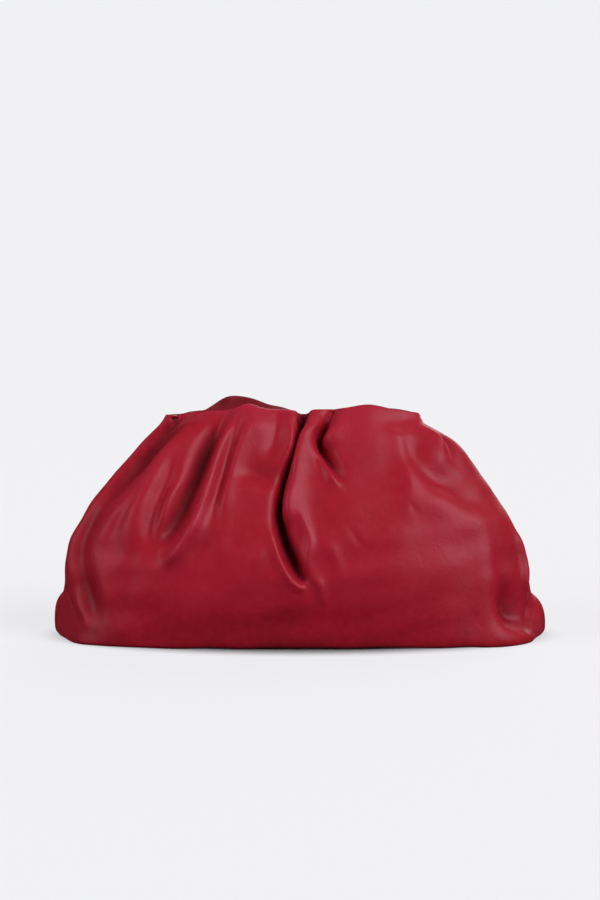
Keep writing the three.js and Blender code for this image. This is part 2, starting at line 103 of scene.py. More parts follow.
# Folds: name, push along the surface, reach to the left and right of the line, edge exponent
# (2 soft, below 2 crisp), the line's points, and for a few folds a lift and a lean sideways.
# A point is (across, up, strength), the first two in hundredths and the last in tenths. Pushes,
# lifts and leans are shares of the half depth, and reaches are shares of the half width.
FRONT_FOLDS = (
    ("left edge ridge", 0.02, 0.03, 0.03, 2,
     ((-97, 87, 3), (-96, 75, 9), (-96, 62, 10), (-95, 48, 10), (-95, 35, 10), (-96, 23, 3))),
    ("left shoulder valley", -0.15, 0.038, 0.054, 2,
     ((-80, 92, 6), (-83, 87, 10), (-86, 80, 10), (-88, 72, 7.5), (-89, 62, 3), (-89, 54, 0))),
    ("mouth corner tuck", -0.09, 0.018, 0.022, 2,
     ((-90, 93, 9), (-86, 91, 10), (-82, 89, 2))),
    ("left edge valley", -0.055, 0.04, 0.048, 2,
     ((-88, 66, 2), (-90, 52, 9), (-90, 40, 10), (-89, 28, 10), (-87.5, 17, 8), (-88, 7, 1))),
    ("left soft ridge", 0.03, 0.046, 0.046, 2,
     ((-74, 68, 1), (-78, 58, 9), (-80, 47, 9), (-81, 38, 1))),
    ("left thin valley", -0.02, 0.026, 0.026, 2,
     ((-73, 70, 2), (-75, 58, 10), (-77, 49, 10), (-80, 41, 2))),
    ("left broad ridge", 0.07, 0.055, 0.05, 2,
     ((-80, 93, 5), (-75, 84, 9), (-73, 74, 10), (-72, 64, 10), (-71, 54, 9), (-70, 44, 5),
      (-71, 36, 1))),
    ("left double valley", -0.045, 0.03, 0.028, 2,
     ((-70, 80, 1), (-66, 70, 8), (-64, 58, 10), (-62.5, 48, 9), (-60, 40, 1))),
    ("left thin ridge", 0.03, 0.018, 0.02, 1.8,
     ((-58, 70, 2), (-59, 64, 9), (-59.5, 58, 10), (-58.5, 52, 6), (-58, 47, 1))),
    ("second valley", -0.14, 0.04, 0.036, 2,
     ((-50, 92, 3), (-51.5, 84, 9), (-52, 74, 10), (-52, 64, 10), (-52, 55, 9), (-54, 47, 6),
      (-57, 40, 1))),
    ("hooked ridge", 0.08, 0.027, 0.029, 1.7,
     ((-45, 92, 4), (-45, 84, 9), (-44.5, 75, 10), (-44, 67, 10), (-43.5, 59, 10), (-44, 52, 10),
      (-46, 45, 10), (-50, 38.5, 9), (-56, 33, 1))),
    ("hooked ridge foot", 0.03, 0.05, 0.05, 2,
     ((-42.5, 60, 1), (-43.5, 52, 9), (-46, 45, 10), (-50, 38.5, 10), (-57, 33, 2))),
    ("band groove", -0.04, 0.022, 0.02, 2,
     ((-38.5, 89, 3), (-38.5, 82, 9), (-38.5, 72, 10), (-38, 62, 9), (-37.5, 54, 2))),
    ("band ridge", 0.045, 0.022, 0.041, 1.7,
     ((-31, 90, 3), (-33, 82, 10), (-34.5, 72, 10), (-34, 60, 9), (-31, 50, 2))),
    ("left puff flute", -0.035, 0.036, 0.03, 2,
     ((-16, 94.5, 4), (-15, 90, 10), (-15, 82, 10), (-18, 75, 2))),
    ("left puff edge", 0.06, 0.041, 0.016, 2,
     ((-5, 94, 8), (-3, 88, 10), (-3, 80, 10), (-6, 72, 1))),
    ("cross dent", -0.045, 0.055, 0.055, 2,
     ((-36, 71, 1), (-27, 71, 7), (-18, 70, 10), (-11, 69, 6), (-6, 69, 1))),
    ("cross ridge", 0.02, 0.035, 0.035, 2,
     ((-34, 65.5, 2), (-24, 65.5, 10), (-15, 64, 3))),
    ("upper middle crease", -0.17, 0.015, 0.013, 1.8,
     ((2, 94.5, 9), (0, 87, 10), (-1, 81, 10), (-4, 74, 9), (-6, 69, 3)), -0.02, 0),
    ("notch at the middle", -0.14, 0.026, 0.022, 2.4,
     ((3.5, 94.5, 10), (2, 92.5, 9), (0, 87, 0)), -0.03, 0),
    ("lower middle crease", -0.2, 0.031, 0.018, 2,
     ((-2.5, 77, 2), (-5, 69, 9), (-7, 60, 10), (-6.8, 51, 10), (-5, 43, 9.5), (-2, 36, 8),
      (1, 30, 5), (3, 27, 1))),
    ("middle crease lip", 0.05, 0.018, 0.01, 1.5,
     ((-13, 50, 1), (-10, 45, 8), (-8, 38, 10), (-4, 30, 10), (0, 26.5, 9), (3, 25, 1))),
    ("middle pleat edge", 0.085, 0.012, 0.05, 1.6,
     ((11.5, 94.5, 5), (6, 90, 9), (2, 83, 10), (-1, 76, 10), (-4.5, 67, 10), (-5.5, 56, 10),
      (-5.5, 49, 2)), 0.01, -0.05),
    ("lens dent", -0.02, 0.025, 0.025, 2,
     ((-1, 52, 1), (0, 45, 10), (0, 38, 8), (1, 33, 0))),
    ("lens edge", 0.035, 0.016, 0.018, 1.5,
     ((0, 59, 1), (2, 51, 10), (4, 44, 10), (2.5, 37, 10), (1, 31, 1))),
    ("middle groove", -0.018, 0.014, 0.014, 2,
     ((11, 89, 6), (8, 82, 10), (10, 74, 8), (12, 67, 1))),
    ("pocket", -0.19, 0.018, 0.026, 2,
     ((28.5, 94.5, 5), (20, 90, 9.5), (13, 84, 10), (12, 80, 9), (15, 75, 6), (19, 70, 2.5),
      (22, 66, 0))),
    ("middle right edge", 0.05, 0.026, 0.01, 1.5,
     ((15, 92, 2), (11, 87, 9), (10, 82, 10), (13, 75, 10), (16.5, 69, 9), (20, 64, 1))),
    ("right puff edge", 0.06, 0.012, 0.06, 1.8,
     ((32, 94.5, 8), (23, 89, 10), (15.5, 83, 9), (14, 78, 1)), 0, -0.03),
    ("right ridge", 0.05, 0.05, 0.09, 1.8,
     ((72, 90, 2), (60, 83, 9), (56, 75, 10), (54, 66, 10), (49, 55, 3), (44, 46, 0))),
    ("right valley", -0.05, 0.045, 0.06, 2,
     ((68, 88, 2), (61, 79, 9), (63, 72, 10), (69, 66, 10), (77, 60, 6), (86, 58, 1))),
    ("right broad ridge", 0.036, 0.075, 0.085, 2,
     ((55, 63, 2), (65, 57, 9), (76, 52, 8), (86, 50, 1))),
    ("shoulder edge", 0.065, 0.035, 0.012, 1.4,
     ((93, 91, 6), (86, 87, 10), (80, 81, 9), (77, 76, 1))),
    ("shoulder valley", -0.065, 0.022, 0.03, 2,
     ((95, 89, 8), (88, 85, 10), (82, 78, 5), (81, 74, 1))),
    ("right edge ridge", 0.065, 0.015, 0.018, 1.6,
     ((94, 50, 1), (94.5, 43, 8), (95, 35, 10), (95, 26, 10), (96.5, 18, 3))),
    ("right hollow edge", -0.025, 0.022, 0.022, 2,
     ((85, 25, 1), (86, 17, 8), (88.5, 12.5, 10), (93, 11, 6), (96, 13, 1))),
    ("right foot ridge", 0.032, 0.07, 0.034, 2,
     ((80, 54, 1), (79, 36, 8), (81, 22, 10), (83.5, 11, 10), (89, 5, 10), (97, 2, 7))),
    ("right ear cup", -0.05, 0.018, 0.018, 2,
     ((98.5, 20, 2), (98, 13, 10), (96.5, 7, 8), (95, 4, 1))),
    ("left ear crease", -0.035, 0.014, 0.018, 2,
     ((-98, 23, 9), (-97, 16, 10), (-95, 11, 8), (-92, 6, 1))),
    ("left ear swell", 0.03, 0.026, 0.026, 2,
     ((-94.5, 25, 1), (-93, 17, 10), (-90, 10, 5))),
    ("left foot ridge", 0.022, 0.04, 0.046, 2,
     ((-80, 37, 1), (-80, 25, 10), (-80, 17, 10), (-82, 7, 2))),
    ("left foot valley", -0.015, 0.031, 0.031, 2,
     ((-68, 36, 6), (-69, 26, 6), (-71, 16, 1))),
    ("low ridge beside the crease", 0.031, 0.041, 0.041, 2,
     ((-13, 46, 3), (-17, 37, 10), (-22, 29, 4))),
    ("low ridge under the puff", 0.025, 0.041, 0.041, 2,
     ((-33, 51, 4), (-32, 42, 10), (-31, 34, 2))),
    ("middle short ridge", 0.025, 0.026, 0.026, 1.5,
     ((10, 46, 2), (14, 39, 10), (17, 31, 2))),
    ("tail ridge", 0.035, 0.012, 0.02, 1.4,
     ((4.5, 31, 3), (8, 27, 10), (9, 22, 8), (10, 17, 1))),
    ("nick", -0.01, 0.01, 0.01, 2,
     ((20, 51, 2), (24, 45, 10), (28, 40, 2))),
    ("small nick", -0.008, 0.01, 0.01, 2,
     ((50, 59, 2), (51, 56, 10), (53, 54, 2))),
)

BACK_FOLDS = (
    ("left edge ridge", 0.02, 0.03, 0.03, 2,
     ((-96, 84, 3), (-95, 62, 10), (-95, 34, 3))),
    ("left shoulder valley", -0.12, 0.036, 0.05, 2,
     ((-83, 92, 4), (-86, 83, 10), (-87, 73, 8), (-88, 60, 2))),
    ("left edge valley", -0.06, 0.036, 0.044, 2,
     ((-88, 58, 2), (-89, 42, 9), (-88, 26, 9), (-88, 8, 0))),
    ("left broad ridge", 0.07, 0.04, 0.05, 2,
     ((-78, 92, 4), (-75, 78, 10), (-72, 62, 9), (-73, 46, 1))),
    ("left gather valley", -0.17, 0.042, 0.03, 2,
     ((-66, 92, 5), (-63, 83, 10), (-61, 72, 10), (-61, 60, 9), (-63, 50, 5), (-67, 42, 1))),
    ("left hooked ridge", 0.085, 0.015, 0.032, 1.5,
     ((-56, 91, 3), (-54, 82, 9), (-53, 70, 10), (-54, 58, 10), (-58, 47, 10), (-64, 39, 7),
      (-70, 35, 1)), 0, -0.045),
    ("tall puff pocket", 0.06, 0.022, 0.02, 2,
     ((-47.5, 94.5, 10), (-47, 90, 7), (-46, 84, 1)), -0.01, 0),
    ("tall puff hole", 0.05, 0.024, 0.022, 2,
     ((-59, 94.5, 10), (-58, 90, 6), (-57, 84, 1)), -0.01, 0),
    ("left short crease", -0.1, 0.02, 0.028, 2,
     ((-31, 90, 1), (-31, 82, 9), (-34, 73, 9), (-38, 65, 1))),
    ("left short lip", 0.04, 0.012, 0.03, 1.5,
     ((-27, 86, 2), (-28, 77, 10), (-32, 68, 9), (-37, 61, 1))),
    ("left cross dent", -0.035, 0.05, 0.05, 2,
     ((-30, 60, 1), (-20, 62, 10), (-8, 64, 6))),
    ("middle crease", -0.22, 0.026, 0.045, 2,
     ((3.5, 94.5, 5), (2, 88, 9), (2, 79, 10), (3.5, 68, 10), (6, 58, 10), (9, 49, 8),
      (14, 40, 4), (19, 34, 1))),
    ("middle pleat edge", 0.085, 0.05, 0.018, 1.6,
     ((-4, 93, 4), (-3.5, 84, 9), (-2, 73, 10), (1, 62, 10), (3, 52, 3)), 0.01, 0.03),
    ("middle crease lip", 0.05, 0.01, 0.018, 1.5,
     ((10, 53, 1), (13, 45, 9), (17, 37, 10), (22, 32, 8), (26, 30, 1))),
    ("right pocket", -0.14, 0.022, 0.016, 2,
     ((27, 94.5, 4), (24.5, 88, 9), (25, 80, 10), (23, 73, 5), (19, 67, 0))),
    ("right pocket edge", 0.055, 0.01, 0.03, 1.5,
     ((31, 92, 3), (28.5, 85, 10), (28, 77, 10), (25, 70, 8), (21, 64, 1))),
    ("right gather valley", -0.16, 0.046, 0.028, 2,
     ((58, 93, 4), (54, 81, 10), (50, 69, 10), (48, 58, 8), (46, 49, 2))),
    ("right gather edge", 0.075, 0.014, 0.045, 1.5,
     ((64, 92, 3), (60, 80, 9), (56, 68, 10), (54, 56, 10), (51, 46, 7), (46, 39, 1)), 0, -0.045),
    ("right shoulder valley", -0.08, 0.034, 0.04, 2,
     ((84, 90, 3), (77, 79, 10), (74, 68, 8), (75, 56, 3), (79, 47, 0))),
    ("right edge valley", -0.06, 0.036, 0.036, 2,
     ((89, 56, 1), (87, 40, 8), (87, 24, 10), (90, 12, 8), (95, 10, 1))),
    ("right foot ridge", 0.035, 0.05, 0.034, 2,
     ((80, 50, 1), (79, 30, 10), (81, 14, 9), (88, 5, 4))),
    ("left ear crease", -0.05, 0.018, 0.018, 2,
     ((-97.5, 23, 9), (-96, 14, 10), (-92, 7, 1))),
    ("low ridge under the crease", 0.028, 0.036, 0.036, 2,
     ((2, 42, 2), (-2, 33, 10), (-8, 25, 3))),
    ("left thin ridge", 0.03, 0.02, 0.024, 1.6,
     ((-40, 54, 1), (-42, 44, 10), (-45, 33, 1))),
    ("right thin ridge", 0.025, 0.02, 0.026, 1.6,
     ((36, 58, 1), (35, 47, 10), (31, 37, 1))),
    ("right nick", -0.01, 0.012, 0.012, 2,
     ((60, 40, 2), (57, 34, 10), (53, 29, 2))),
)

# Swells: name, push, lift, place (across, up), reach across and up as shares of the half
# width, and the angle in degrees by which the swell is turned as seen from the front.
FRONT_SWELLS = (
    ("left puff", 0.09, 0.028, -0.28, 0.9, 0.13, 0.12, 10),
    ("left puff peak", 0, 0.05, -0.37, 0.945, 0.048, 0.1, 0),
    ("right puff", 0.11, 0.028, 0.46, 0.9, 0.19, 0.17, -25),
    ("right puff peak", 0, 0.04, 0.56, 0.94, 0.075, 0.11, 0),
    ("shoulder puff", 0.06, 0, 0.75, 0.78, 0.08, 0.11, -20),
    ("right hollow", -0.07, 0, 0.88, 0.165, 0.052, 0.09, 14),
    ("right belly", 0.03, 0, 0.45, 0.45, 0.3, 0.22, 0),
    ("left belly", 0.02, 0, -0.4, 0.25, 0.25, 0.18, 0),
)
BACK_SWELLS = (
    ("low middle crest", 0, -0.05, 0.05, 0.945, 0.15, 0.09, 0),
    ("low left crest", 0, -0.03, -0.8, 0.945, 0.16, 0.09, 0),
    ("tall puff", 0.08, 0.085, -0.53, 0.94, 0.07, 0.11, 0),
    ("tall puff tail", 0.06, 0.083, -0.36, 0.94, 0.085, 0.1, 0),
    ("low puff", 0.03, 0.025, -0.13, 0.94, 0.055, 0.09, 0),
    ("right puff", 0.08, 0.01, 0.28, 0.88, 0.14, 0.12, 0),
    ("left belly", 0.03, 0, -0.4, 0.4, 0.26, 0.18, 0),
    ("right belly", 0.03, 0, 0.45, 0.35, 0.28, 0.2, 0),
    ("low wave", 0.015, 0, -0.1, 0.22, 0.3, 0.06, 0),
)


def metres(name, description, default):
    return bpy.props.FloatProperty(
        name=name, description=description, default=default, unit="LENGTH")


def colour(name, description, default):
    return bpy.props.StringProperty(
        name=name, description="sRGB hex of " + description, default=default)


class PouchSizes(bpy.types.PropertyGroup):
    width: metres("Width", "Ear tip to ear tip", 0.390)
    depth: metres("Depth", "Front to back of the full body", 0.162)
    height: metres("Height", "Surface to the tallest gather", 0.190)
    wall: metres("Wall", "Thickness of the hide", 0.002)
    seam_gap: metres("Seam gap", "Gap between the panels along the side and base seam", 0.00001)
    ear: metres("Ear thickness", "Thickness of the flattened bottom corners", 0.032)
    mouth: metres("Mouth gap", "Slot left between the two facings", 0.008)
    facing: metres("Facing", "Thickness of the turned-in facing", 0.0015)
    facing_drop: metres("Facing drop", "How far the facing hangs down inside", 0.030)
    bar: metres("Bar", "Thickness of the hidden frame's bars", 0.0025)
    clearance: metres("Clearance", "Gap kept between a facing and its bar", 0.0003)
    pitch: metres("Stitch pitch", "Step from stitch to stitch", 0.0042)
    stitch: metres("Stitch length", "Visible length of one stitch", 0.0032)
    thread: metres("Thread", "Thickness of the sewing thread", 0.0007)
    columns: bpy.props.IntProperty(
        name="Columns", description="Mesh columns across a panel", default=310, min=60)
    rows: bpy.props.IntProperty(
        name="Rows", description="Mesh rows from the base seam to the rim", default=150, min=40)


class PouchLook(bpy.types.PropertyGroup):
    hide: colour("Hide colour", "the dyed leather", "#A8192B")
    # The crease colour serves the darker tone of hide and thread and painted shade in creases;
    # the ridge colour serves lighter tone and a painted highlight on ridges
    deep: colour("Crease colour", "a crease, where dye gathers", "#6C0A16")
    light_tone_and_ridge_highlight: colour("Ridge colour", "the stretched hide on a ridge", "#B02135")
    thread: colour("Thread colour", "the sewing thread", "#8C1722")
    roughness: bpy.props.FloatProperty(
        name="Roughness", description="Roughness of the finished hide", default=0.42,
        min=0, max=1, subtype="FACTOR")
    grain: metres("Grain", "Size of one grain cell of the hide", 0.0014)


class PouchStage(bpy.types.PropertyGroup):
    lens: bpy.props.FloatProperty(
        name="Lens", description="Focal length in millimetres", default=90.0, min=10)
    elevation: bpy.props.FloatProperty(
        name="Elevation", description="Camera angle above the level",
        default=math.radians(5.0), subtype="ANGLE")
    distance: metres("Distance", "Camera to the aim point", 1.791)
    aim: metres("Aim height", "Height of the aim point", 0.1476)
    backdrop: colour("Backdrop", "the evenly lit sweep", "#F1F1F3")
    glow: bpy.props.FloatProperty(
        name="Paper glow", description="Light that comes through the paper from below",
        default=0.80, min=0)
    paper: colour("Paper", "the paper itself", "#7C7C7E")


def linear(hex_colour):
    """Linear RGBA of an sRGB hex colour."""
    channels = [int(hex_colour[k:k + 2], 16) / 255 for k in (1, 3, 5)]
    return [c / 12.92 if c <= 0.04045 else ((c + 0.055) / 1.055) ** 2.4 for c in channels] + [1.0]


def smoothstep(x, start, end):
    t = np.clip((x - start) / (end - start), 0, 1)
    return t * t * (3 - 2 * t)


def rim_reach(sizes):
    """Distance of the mouth's rim from the middle plane, set by what lies between them."""
    bar_inside = sizes.mouth / 2 + sizes.facing + sizes.clearance
    return bar_inside + sizes.bar + sizes.clearance + 2 * sizes.wall


def level_table(sizes):
    table = np.array(LEVELS)
    from_rim = table[:, 1] >= RIM / 2
    table[from_rim, 1] += rim_reach(sizes) / (sizes.depth / 2) - RIM
    return table


def levels_at(table, place):
    """Cubic B-spline through the table's rows; place runs from 0 to the last row's number."""
    spans = len(table) - 1
    place = np.clip(np.asarray(place, float), 0, spans)
    first = np.minimum(place.astype(int), spans - 1)
    t = (place - first)[..., None]
    ends = np.vstack([2 * table[0] - table[1], table, 2 * table[-1] - table[-2]])
    weights = ((1 - t) ** 3, 3 * t ** 3 - 6 * t ** 2 + 4,
               -3 * t ** 3 + 3 * t ** 2 + 3 * t + 1, t ** 3)
    return sum(w * ends[first + k] for k, w in enumerate(weights)) / 6


def body_points(sizes, across, levels, side):
    """Points of the unfolded body. across runs from -1 to 1 between the side seams."""
    up, depth, left, right, seam_up, seam_left, seam_right, full = np.moveaxis(levels, -1, 0)
    half_width, half_depth = sizes.width / 2, sizes.depth / 2
    share = np.minimum(np.abs(across), 1)
    wide = np.where(across < 0, left, right) * half_width
    seam = np.where(across < 0, seam_left, seam_right) * half_width
    y = depth * half_depth * (1 - share ** full) ** (1 / full)
    # The seam pulls the wall in over half an ear's thickness, and further near the floor
    lobe = sizes.ear * (0.5 + 0.35 * smoothstep(up, 0.16, 0.02))
    near_seam = np.exp(-(y / lobe) ** 2) * share ** 6
    seam_lift = np.exp(-(y / sizes.ear) ** 2) * share ** 8
    x = np.sign(across) * (wide * share + (seam - wide) * near_seam)
    z = np.maximum(0, sizes.height * (up + (seam_up - up) * seam_lift))
    return np.stack([x, side * np.maximum(y, sizes.seam_gap / 2), z], -1)


def level_lines(sizes, table, places, columns, side):
    """One line of evenly spaced points for each place."""
    # The samples lie closest together at the side seams, where the section turns sharply
    samples = np.linspace(-1, 1, 601)
    across = np.sign(samples) * (1 - (1 - np.abs(samples)) ** 5)
    levels = levels_at(table, places)
    fine = body_points(sizes, across[None, :], levels[:, None, :], side)
    steps = np.linalg.norm(np.diff(fine, axis=1), axis=2)
    grid = np.empty((len(places), columns + 1, 3))
    for r, line in enumerate(fine):
        along = np.concatenate([[0], np.cumsum(steps[r])])
        even = np.linspace(0, along[-1], columns + 1)
        for axis in range(3):
            grid[r, :, axis] = np.interp(even, along, line[:, axis])
    return grid


def grid_normals(grid, places, side):
    """Outward normals; along a side seam they stay in the seam's plane."""
    normals = np.cross(np.gradient(grid, axis=1), np.gradient(grid, places, axis=0)) * -side
    normals[:, [0, -1], 1] = 0
    length = np.linalg.norm(normals, axis=-1, keepdims=True)
    return normals / np.maximum(length, 1e-12)


def smooth_line(points, count=48):
    """Catmull-Rom curve through a fold's points; its strength starts and ends level."""
    ends = np.vstack([2 * points[0] - points[1], points, 2 * points[-1] - points[-2]])
    ends[[0, -1], 2] = points[[1, -2], 2]
    place = np.linspace(0, len(points) - 1, count)
    first = np.minimum(place.astype(int), len(points) - 2)
    t = (place - first)[:, None]
    a, b, c, d = (ends[first + k] for k in range(4))
    return 0.5 * (2 * b + (c - a) * t + (2 * a - 5 * b + 4 * c - d) * t ** 2
                  + (3 * b - a - 3 * c + d) * t ** 3)


def place_of_height(table, up):
    """Place of the level whose height share is up, between the base and the crest."""
    places = np.linspace(2.2, CREST_ROW + 3, 600)
    heights = levels_at(table, places)[:, 0]
    crest = heights.argmax() + 1
    return np.interp(up, heights[:crest], places[:crest])


def fold_offsets(sizes, table, grid, normals, folds, side):
    """Push, lift and slide of every grid point from a table of folds. Each point takes the
    strength of the nearest place on the fold's line, weaker the further it is away."""
    points, outward = grid.reshape(-1, 3), normals.reshape(-1, 3)
    push, lift = np.zeros(len(points)), np.zeros(len(points))
    slide = np.zeros((len(points), 3))
    half_width, half_depth = sizes.width / 2, sizes.depth / 2
    for _, fold_push, left, right, edge, line, *extra in folds:
        fold_lift, lean = extra or (0, 0)
        curve = smooth_line(np.array(line) / (100, 100, 10))
        across = np.clip(curve[:, 0], -1, 1)
        levels = levels_at(table, place_of_height(table, curve[:, 1]))
        at = body_points(sizes, across, levels, side)
        strength = np.maximum(curve[:, 2], 0)
        left, right = left * half_width, right * half_width
        reach = 3 * max(left, right)
        near = np.all((points > at.min(0) - reach) & (points < at.max(0) + reach), axis=1)
        if not near.any():
            continue
        here = points[near][:, None]
        along = np.diff(at, axis=0)
        length = np.maximum((along ** 2).sum(1), 1e-12)
        t = np.clip(((here - at[:-1]) * along).sum(-1) / length, 0, 1)
        foot = at[:-1] + t[..., None] * along
        distance = np.linalg.norm(here - foot, axis=-1)
        nearest = distance.argmin(1)
        rows = np.arange(len(nearest))
        t, foot, distance = t[rows, nearest], foot[rows, nearest], distance[rows, nearest]
        power = strength[nearest] * (1 - t) + strength[nearest + 1] * t
        sideways = np.cross(outward[near], along[nearest])
        sideways /= np.maximum(np.linalg.norm(sideways, axis=1, keepdims=True), 1e-12)
        # The reach changes softly from one side of the line to the other
        offset = ((here[:, 0] - foot) * sideways).sum(1)
        blend = 0.5 + 0.5 * np.tanh(offset / (0.35 * min(left, right)))
        width = left * (1 - blend) + right * blend
        weight = power * np.exp(-(distance / width) ** edge) * half_depth
        push[near] += fold_push * weight
        lift[near] += fold_lift * weight
        slide[near] += (lean * weight)[:, None] * sideways
    shape = grid.shape[:2]
    return push.reshape(shape), lift.reshape(shape), slide.reshape(grid.shape)


def swell_offsets(sizes, table, grid, swells, side):
    """Push and lift of every grid point from a table of wide round swells."""
    push, lift = np.zeros(grid.shape[:2]), np.zeros(grid.shape[:2])
    for _, swell_push, swell_lift, across, up, wide, tall, turn in swells:
        level = levels_at(table, place_of_height(table, up))
        centre = body_points(sizes, np.array(across), level, side)
        away = grid - centre
        cos, sin = math.cos(math.radians(turn)), math.sin(math.radians(turn))
        level_way = (cos * away[..., 0] + sin * away[..., 2]) / (wide * sizes.width / 2)
        other = np.hypot(cos * away[..., 2] - sin * away[..., 0], away[..., 1])
        weight = np.exp(-level_way ** 2 - (other / (tall * sizes.width / 2)) ** 2)
        push += swell_push * sizes.depth / 2 * weight
        lift += swell_lift * sizes.depth / 2 * weight
    return push, lift


def soften(field):
    """Takes out the smallest steps between neighbouring grid points."""
    for axis in (0, 1):
        inner = np.moveaxis(field, axis, 0)
        inner[1:-1] = 0.25 * inner[:-2] + 0.5 * inner[1:-1] + 0.25 * inner[2:]
    return field


def seam_roll(sizes, grid):
    """The hide swells a little beside the side seam and dips where the seam allowance ends."""
    from_seam = np.abs(grid[..., 1])
    roll = sum(high * np.exp(-((from_seam - middle) / reach) ** 2)
               for high, middle, reach in SEAM_WAVES)
    return roll * smoothstep(grid[..., 2], 0, 0.03 * sizes.height)


def uneven_hide(grid, seed):
    """Slight hand-made unevenness: a few soft waves in random directions."""
    chance = np.random.default_rng(seed)
    offset = np.zeros(grid.shape[:2])
    for _ in range(WAVES):
        way = chance.normal(size=3)
        way *= 2 * math.pi / (chance.uniform(*WAVE_LENGTH) * np.linalg.norm(way))
        high = chance.uniform(*WAVE_HEIGHT) * MM
        offset += high * np.sin(grid @ way + chance.uniform(0, 2 * math.pi))
    return offset


def row_places(rows, spans):
    """Place of each mesh row: more rows to a span up the body than at the base and the crest."""
    fine = np.linspace(0, spans, 2000)
    density = (BASE_ROWS + (BODY_ROWS - BASE_ROWS) * smoothstep(fine, 2, 5)
               + (CREST_ROWS - BODY_ROWS) * smoothstep(fine, CREST_ROW - 1.5, CREST_ROW + 1.5))
    passed = np.concatenate([[0], np.cumsum(0.5 * (density[1:] + density[:-1]))])
    return np.interp(np.linspace(0, passed[-1], rows + 1), passed, fine)


def keep_order(moved, grid, way, places):
    """Keeps the turned-in rows of each column inside its crest, so that the hide never crosses
    itself: each row stays ahead of the next by a part of their distance before folding."""
    out = ((moved - moved[-1]) * way).sum(-1)
    plan = 0.3 * ((grid - grid[-1]) * way).sum(-1)
    lead = np.maximum.accumulate((out - plan)[::-1])[::-1] + plan
    share = smoothstep(places, CREST_ROW - 1, CREST_ROW + 0.3)[:, None]
    return moved + soften(share * (lead - out))[..., None] * way


def fold_shade_depth(push, places):
    """How deep in a fold each point counts for the painted fold shade. The turned-in side is
    painted darker as shade, most so in the hollow behind a bulge, and the crest's edge is painted
    lighter as a highlight."""
    # Painted shade on the turned-in side and behind bulges, painted highlight on the crest's edge
    inside = smoothstep(places, CREST_ROW + 1.8, CREST_ROW + 2.6)[:, None]
    hollow = INSIDE_SHADE + BULGE_SHADE * np.maximum(push, 0)
    edge_highlight = CREST_HIGHLIGHT * np.exp(-((places - CREST_ROW - 1.6) / 0.35) ** 2)[:, None]
    return np.minimum(push, push * (1 - inside) - hollow * inside) + edge_highlight


def folded_panel(sizes, folds, swells, side):
    """Outer grid of one panel, and the depth of each point for the painted fold shade and
    highlight.
    """
    table = level_table(sizes)
    spans = len(table) - 1
    places = row_places(sizes.rows, spans)
    grid = level_lines(sizes, table, places, sizes.columns, side)
    normals = grid_normals(grid, places, side)
    push, lift, slide = fold_offsets(sizes, table, grid, normals, folds, side)
    swell_push, swell_lift = swell_offsets(sizes, table, grid, swells, side)
    push += swell_push + uneven_hide(grid, 5 + side)
    push, lift, slide = soften(push), soften(lift + swell_lift), soften(slide)
    # Up to the crest a fold goes along the surface's normal; from there to the rim it keeps
    # the crest's level direction, so the turned-in edge follows its fold and fades at the rim
    crest_row = int(np.searchsorted(places, CREST_ROW))
    level_way = normals[crest_row] * (1, 1, CREST_CLIMB)
    level_way /= np.maximum(np.linalg.norm(level_way, axis=-1, keepdims=True), 1e-12)
    at_crest = smoothstep(places, CREST_ROW - 1.5, CREST_ROW)[:, None, None]
    way = normals * (1 - at_crest) + level_way * at_crest
    quiet = SEAM_CALM * sizes.width * (1 + CREST_CALM * at_crest[..., 0])
    calm_at_seam = smoothstep(np.abs(grid[..., 1]) / quiet, 0, 1)
    calm_at_rim = (1 - smoothstep(places, RIM_CALM_ROW, spans))[:, None]
    calm = calm_at_seam * calm_at_rim
    push = push * calm + seam_roll(sizes, grid) * calm_at_rim
    sunk = smoothstep(places, CREST_ROW - 1.5, CREST_ROW + 2)[:, None] * np.minimum(push, 0)
    moved = grid + calm[..., None] * (1 - at_crest) * slide + push[..., None] * way
    moved[..., 2] += calm * lift + VALLEY_DROP * sunk
    # Nothing sinks below the floor, and the turned-in rows never drop below the rim
    rim_height = table[-1, 0] * sizes.height
    turned_in = (places > CREST_ROW + 1.5)[:, None]
    lowest = np.where(turned_in, np.minimum(grid[..., 2], rim_height), 0)
    moved[..., 2] = np.where(grid[..., 2] <= 0, grid[..., 2], np.maximum(moved[..., 2], lowest))
    moved = keep_order(moved, grid, level_way, places)
    nearest = np.minimum(np.abs(grid[..., 1]), sizes.seam_gap / 2)
    moved[..., 1] = side * np.maximum(side * moved[..., 1], nearest)
    return moved, fold_shade_depth(push, places)


def add_object(name, data):
    thing = bpy.data.objects.new(name, data)
    bpy.context.scene.collection.objects.link(thing)
    return thing


def grid_mesh(name, grid, side, **attributes):
    """Mesh object of a grid of points, faces outward, with one float attribute per keyword."""
    rows, columns = grid.shape[:2]
    number = np.arange(rows * columns).reshape(rows, columns)
    corners = [number[:-1, :-1], number[:-1, 1:], number[1:, 1:], number[1:, :-1]]
    if side == BACK:
        corners.reverse()
    faces = np.stack([c.ravel() for c in corners], -1)
    mesh = bpy.data.meshes.new(name)
    mesh.from_pydata(grid.reshape(-1, 3).tolist(), [], faces.tolist())
    mesh.polygons.foreach_set("use_smooth", [True] * len(mesh.polygons))
    for key, values in attributes.items():
        layer = mesh.attributes.new(key, "FLOAT", "POINT")
        layer.data.foreach_set("value", values.ravel().astype(np.float32))
    mesh.update()
    return add_object(name, mesh)


def fasten(piece, node):
    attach(piece, "root")
    if node:
        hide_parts(node)


